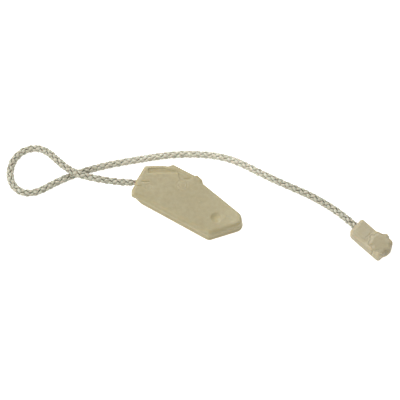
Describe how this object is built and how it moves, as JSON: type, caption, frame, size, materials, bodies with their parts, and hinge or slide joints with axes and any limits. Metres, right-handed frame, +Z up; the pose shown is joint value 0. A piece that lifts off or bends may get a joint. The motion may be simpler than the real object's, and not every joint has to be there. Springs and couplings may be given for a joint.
{
  "type": "pull cord with end fittings",
  "caption": "Braided pull cord with a flat wedge fitting moulded on one end and a small block with a round lobed cap on the other.",
  "frame": {"origin": "on the flat underside of the wedge fitting, straight below the middle of the crimped ferrule inside it", "axes": "+X along the cord channel into the wedge fitting, +Z up out of its top face, +Y towards the side the free cord passes on"},
  "size_m": [0.212, 0.0704, 0.008],
  "materials": {
    "nylon_wedge_base": "satin natural nylon",
    "nylon_wedge_cover": "satin natural nylon",
    "nylon_block_body": "satin natural nylon",
    "nylon_block_cap": "satin natural nylon",
    "cord_polyester": "coarse off-white braid",
    "ferrule_zinc": "zinc-plated crimp"
  },
  "bodies": {
    "wedge": {"wedge_base": "nylon_wedge_base", "wedge_cover": "nylon_wedge_cover"},
    "cord_end_wedge": {"wedge_ferrule": "ferrule_zinc", "cord_link_01": "cord_polyester"},
    "cord_segment_02": {"cord_link_02": "cord_polyester"},
    "cord_segment_03": {"cord_link_03": "cord_polyester"},
    "cord_segment_04": {"cord_link_04": "cord_polyester"},
    "cord_segment_05": {"cord_link_05": "cord_polyester"},
    "cord_segment_06": {"cord_link_06": "cord_polyester"},
    "cord_segment_07": {"cord_link_07": "cord_polyester"},
    "cord_segment_08": {"cord_link_08": "cord_polyester"},
    "cord_segment_09": {"cord_link_09": "cord_polyester"},
    "cord_segment_10": {"cord_link_10": "cord_polyester"},
    "cord_segment_11": {"cord_link_11": "cord_polyester"},
    "cord_segment_12": {"cord_link_12": "cord_polyester"},
    "cord_segment_13": {"cord_link_13": "cord_polyester"},
    "cord_segment_14": {"cord_link_14": "cord_polyester"},
    "cord_segment_15": {"cord_link_15": "cord_polyester"},
    "cord_segment_16": {"cord_link_16": "cord_polyester"},
    "cord_segment_17": {"cord_link_17": "cord_polyester"},
    "cord_segment_18": {"cord_link_18": "cord_polyester"},
    "cord_segment_19": {"cord_link_19": "cord_polyester"},
    "cord_end_block": {"cord_link_20": "cord_polyester", "block_ferrule": "ferrule_zinc"},
    "block": {"block_body": "nylon_block_body", "block_cap": "nylon_block_cap"}
  },
  "joints": [
    {"name": "wedge_swivel", "type": "hinge", "parent": "wedge", "child": "cord_end_wedge", "pos_m": [-0.0159, 0, 0.004], "axis": [-1, 0, 0], "range_deg": [-30, 30]},
    {"name": "cord_bend_01", "type": "hinge", "parent": "cord_end_wedge", "child": "cord_segment_02", "pos_m": [-0.0239, 0.00009, 0.00432], "axis": [0, 0, 1], "range_deg": [-6, 20]},
    {"name": "cord_lift_02", "type": "hinge", "parent": "cord_segment_02", "child": "cord_segment_03", "pos_m": [-0.03928, 0.00183, 0.0056], "axis": [0.2078, 0.9782, 0], "range_deg": [-10, 10]},
    {"name": "cord_bend_03", "type": "hinge", "parent": "cord_segment_03", "child": "cord_segment_04", "pos_m": [-0.05353, 0.00766, 0.0056], "axis": [0, 0, 1], "range_deg": [-5, 10]},
    {"name": "cord_bend_04", "type": "hinge", "parent": "cord_segment_04", "child": "cord_segment_05", "pos_m": [-0.06468, 0.01837, 0.00451], "axis": [0, 0, 1], "range_deg": [-5, 10]},
    {"name": "cord_bend_05", "type": "hinge", "parent": "cord_segment_05", "child": "cord_segment_06", "pos_m": [-0.07891, 0.02075, 0.00181], "axis": [0, 0, 1], "range_deg": [-3, 10]},
    {"name": "cord_bend_06", "type": "hinge", "parent": "cord_segment_06", "child": "cord_segment_07", "pos_m": [-0.08593, 0.00764, 0.00175], "axis": [0, 0, 1], "range_deg": [-3, 10]},
    {"name": "cord_bend_07", "type": "hinge", "parent": "cord_segment_07", "child": "cord_segment_08", "pos_m": [-0.07864, -0.00483, 0.00175], "axis": [0, 0, 1], "range_deg": [-4, 10]},
    {"name": "cord_bend_08", "type": "hinge", "parent": "cord_segment_08", "child": "cord_segment_09", "pos_m": [-0.06421, -0.00091, 0.00175], "axis": [0, 0, 1], "range_deg": [-5, 10]},
    {"name": "cord_lift_09", "type": "hinge", "parent": "cord_segment_09", "child": "cord_segment_10", "pos_m": [-0.05039, 0.00609, 0.00175], "axis": [0.3907, -0.9205, 0], "range_deg": [-8, 8]},
    {"name": "cord_bend_10", "type": "hinge", "parent": "cord_segment_10", "child": "cord_segment_11", "pos_m": [-0.03576, 0.01117, 0.00175], "axis": [0, 0, 1], "range_deg": [-8, 12]},
    {"name": "cord_lift_11", "type": "hinge", "parent": "cord_segment_11", "child": "cord_segment_12", "pos_m": [-0.02064, 0.01456, 0.00175], "axis": [0.1956, -0.9807, 0], "range_deg": [-12, 12]},
    {"name": "cord_bend_12", "type": "hinge", "parent": "cord_segment_12", "child": "cord_segment_13", "pos_m": [-0.0054, 0.01741, 0.00175], "axis": [0, 0, 1], "range_deg": [-15, 15]},
    {"name": "cord_lift_13", "type": "hinge", "parent": "cord_segment_13", "child": "cord_segment_14", "pos_m": [0.01, 0.01899, 0.00175], "axis": [0.0301, -0.9995, 0], "range_deg": [-15, 15]},
    {"name": "cord_bend_14", "type": "hinge", "parent": "cord_segment_14", "child": "cord_segment_15", "pos_m": [0.02547, 0.01824, 0.00175], "axis": [0, 0, 1], "range_deg": [-20, 20]},
    {"name": "cord_lift_15", "type": "hinge", "parent": "cord_segment_15", "child": "cord_segment_16", "pos_m": [0.04027, 0.01383, 0.00175], "axis": [-0.4258, -0.9048, 0], "range_deg": [-15, 15]},
    {"name": "cord_bend_16", "type": "hinge", "parent": "cord_segment_16", "child": "cord_segment_17", "pos_m": [0.05384, 0.00636, 0.00175], "axis": [0, 0, 1], "range_deg": [-20, 20]},
    {"name": "cord_lift_17", "type": "hinge", "parent": "cord_segment_17", "child": "cord_segment_18", "pos_m": [0.06757, -0.00084, 0.00175], "axis": [-0.4426, -0.8967, 0], "range_deg": [-15, 15]},
    {"name": "cord_bend_18", "type": "hinge", "parent": "cord_segment_18", "child": "cord_segment_19", "pos_m": [0.08135, -0.00792, 0.00175], "axis": [0, 0, 1], "range_deg": [-20, 20]},
    {"name": "cord_lift_19", "type": "hinge", "parent": "cord_segment_19", "child": "cord_end_block", "pos_m": [0.09396, -0.0169, 0.00243], "axis": [-0.6492, -0.7606, 0], "range_deg": [-20, 20]},
    {"name": "block_swivel", "type": "hinge", "parent": "cord_end_block", "child": "block", "pos_m": [0.10481, -0.02725, 0.0031], "axis": [0.7071, -0.7071, 0], "continuous": true}
  ]
}
